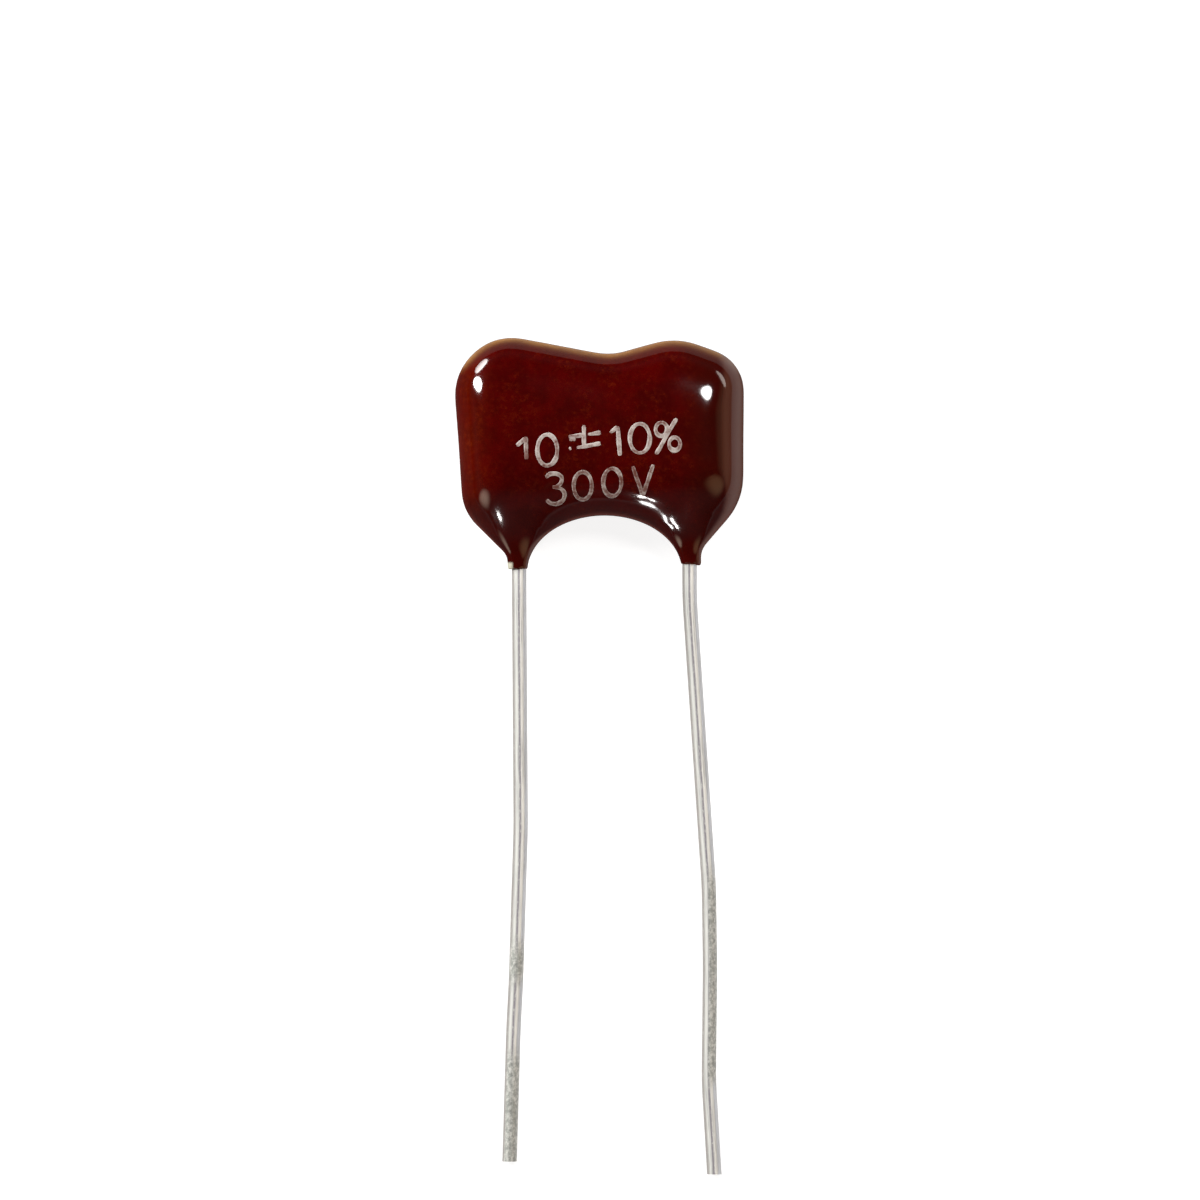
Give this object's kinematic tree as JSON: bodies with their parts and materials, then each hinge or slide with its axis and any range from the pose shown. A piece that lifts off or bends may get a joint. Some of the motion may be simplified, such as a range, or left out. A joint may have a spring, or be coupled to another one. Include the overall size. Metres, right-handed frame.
{
  "type": "silver mica capacitor",
  "caption": "Dipped silver mica capacitor: a clamped mica stack in a glossy dark red-brown resin coat with tapering legs and long radial wire leads.",
  "frame": {"origin": "in the flat back face it lies on, midway between the leads and midway between the arch and the lobes", "axes": "+Z through the thickness to the printed face, +Y along the leads towards the lobes, +X across the leads to the printed face's right"},
  "size_m": [0.0099, 0.0288, 0.0036],
  "materials": {
    "resin": "glossy dipped phenolic resin, dark red-brown",
    "ink": "thin pale grey marking ink, uneven where it is stamped on the curved coat",
    "tinned_wire": "tinned copper-clad steel wire, drawn and slightly dull",
    "solder": "dull soft solder",
    "tinned_brass": "thin rolled brass strip",
    "foil": "soft tin-lead foil",
    "silver": "fired silver",
    "mica": "split muscovite mica"
  },
  "bodies": {
    "root": {"coating": "resin", "lead_left": "tinned_wire", "lead_right": "tinned_wire", "solder_left": "solder", "solder_right": "solder", "clamp_left": "tinned_brass", "clamp_right": "tinned_brass", "foil_front": "foil", "foil_back": "foil", "electrode_front": "silver", "electrode_back": "silver", "dielectric_mica": "mica", "cover_mica_front_inner": "mica", "cover_mica_front_outer": "mica", "cover_mica_back_inner": "mica", "cover_mica_back_outer": "mica"}
  },
  "joints": []
}
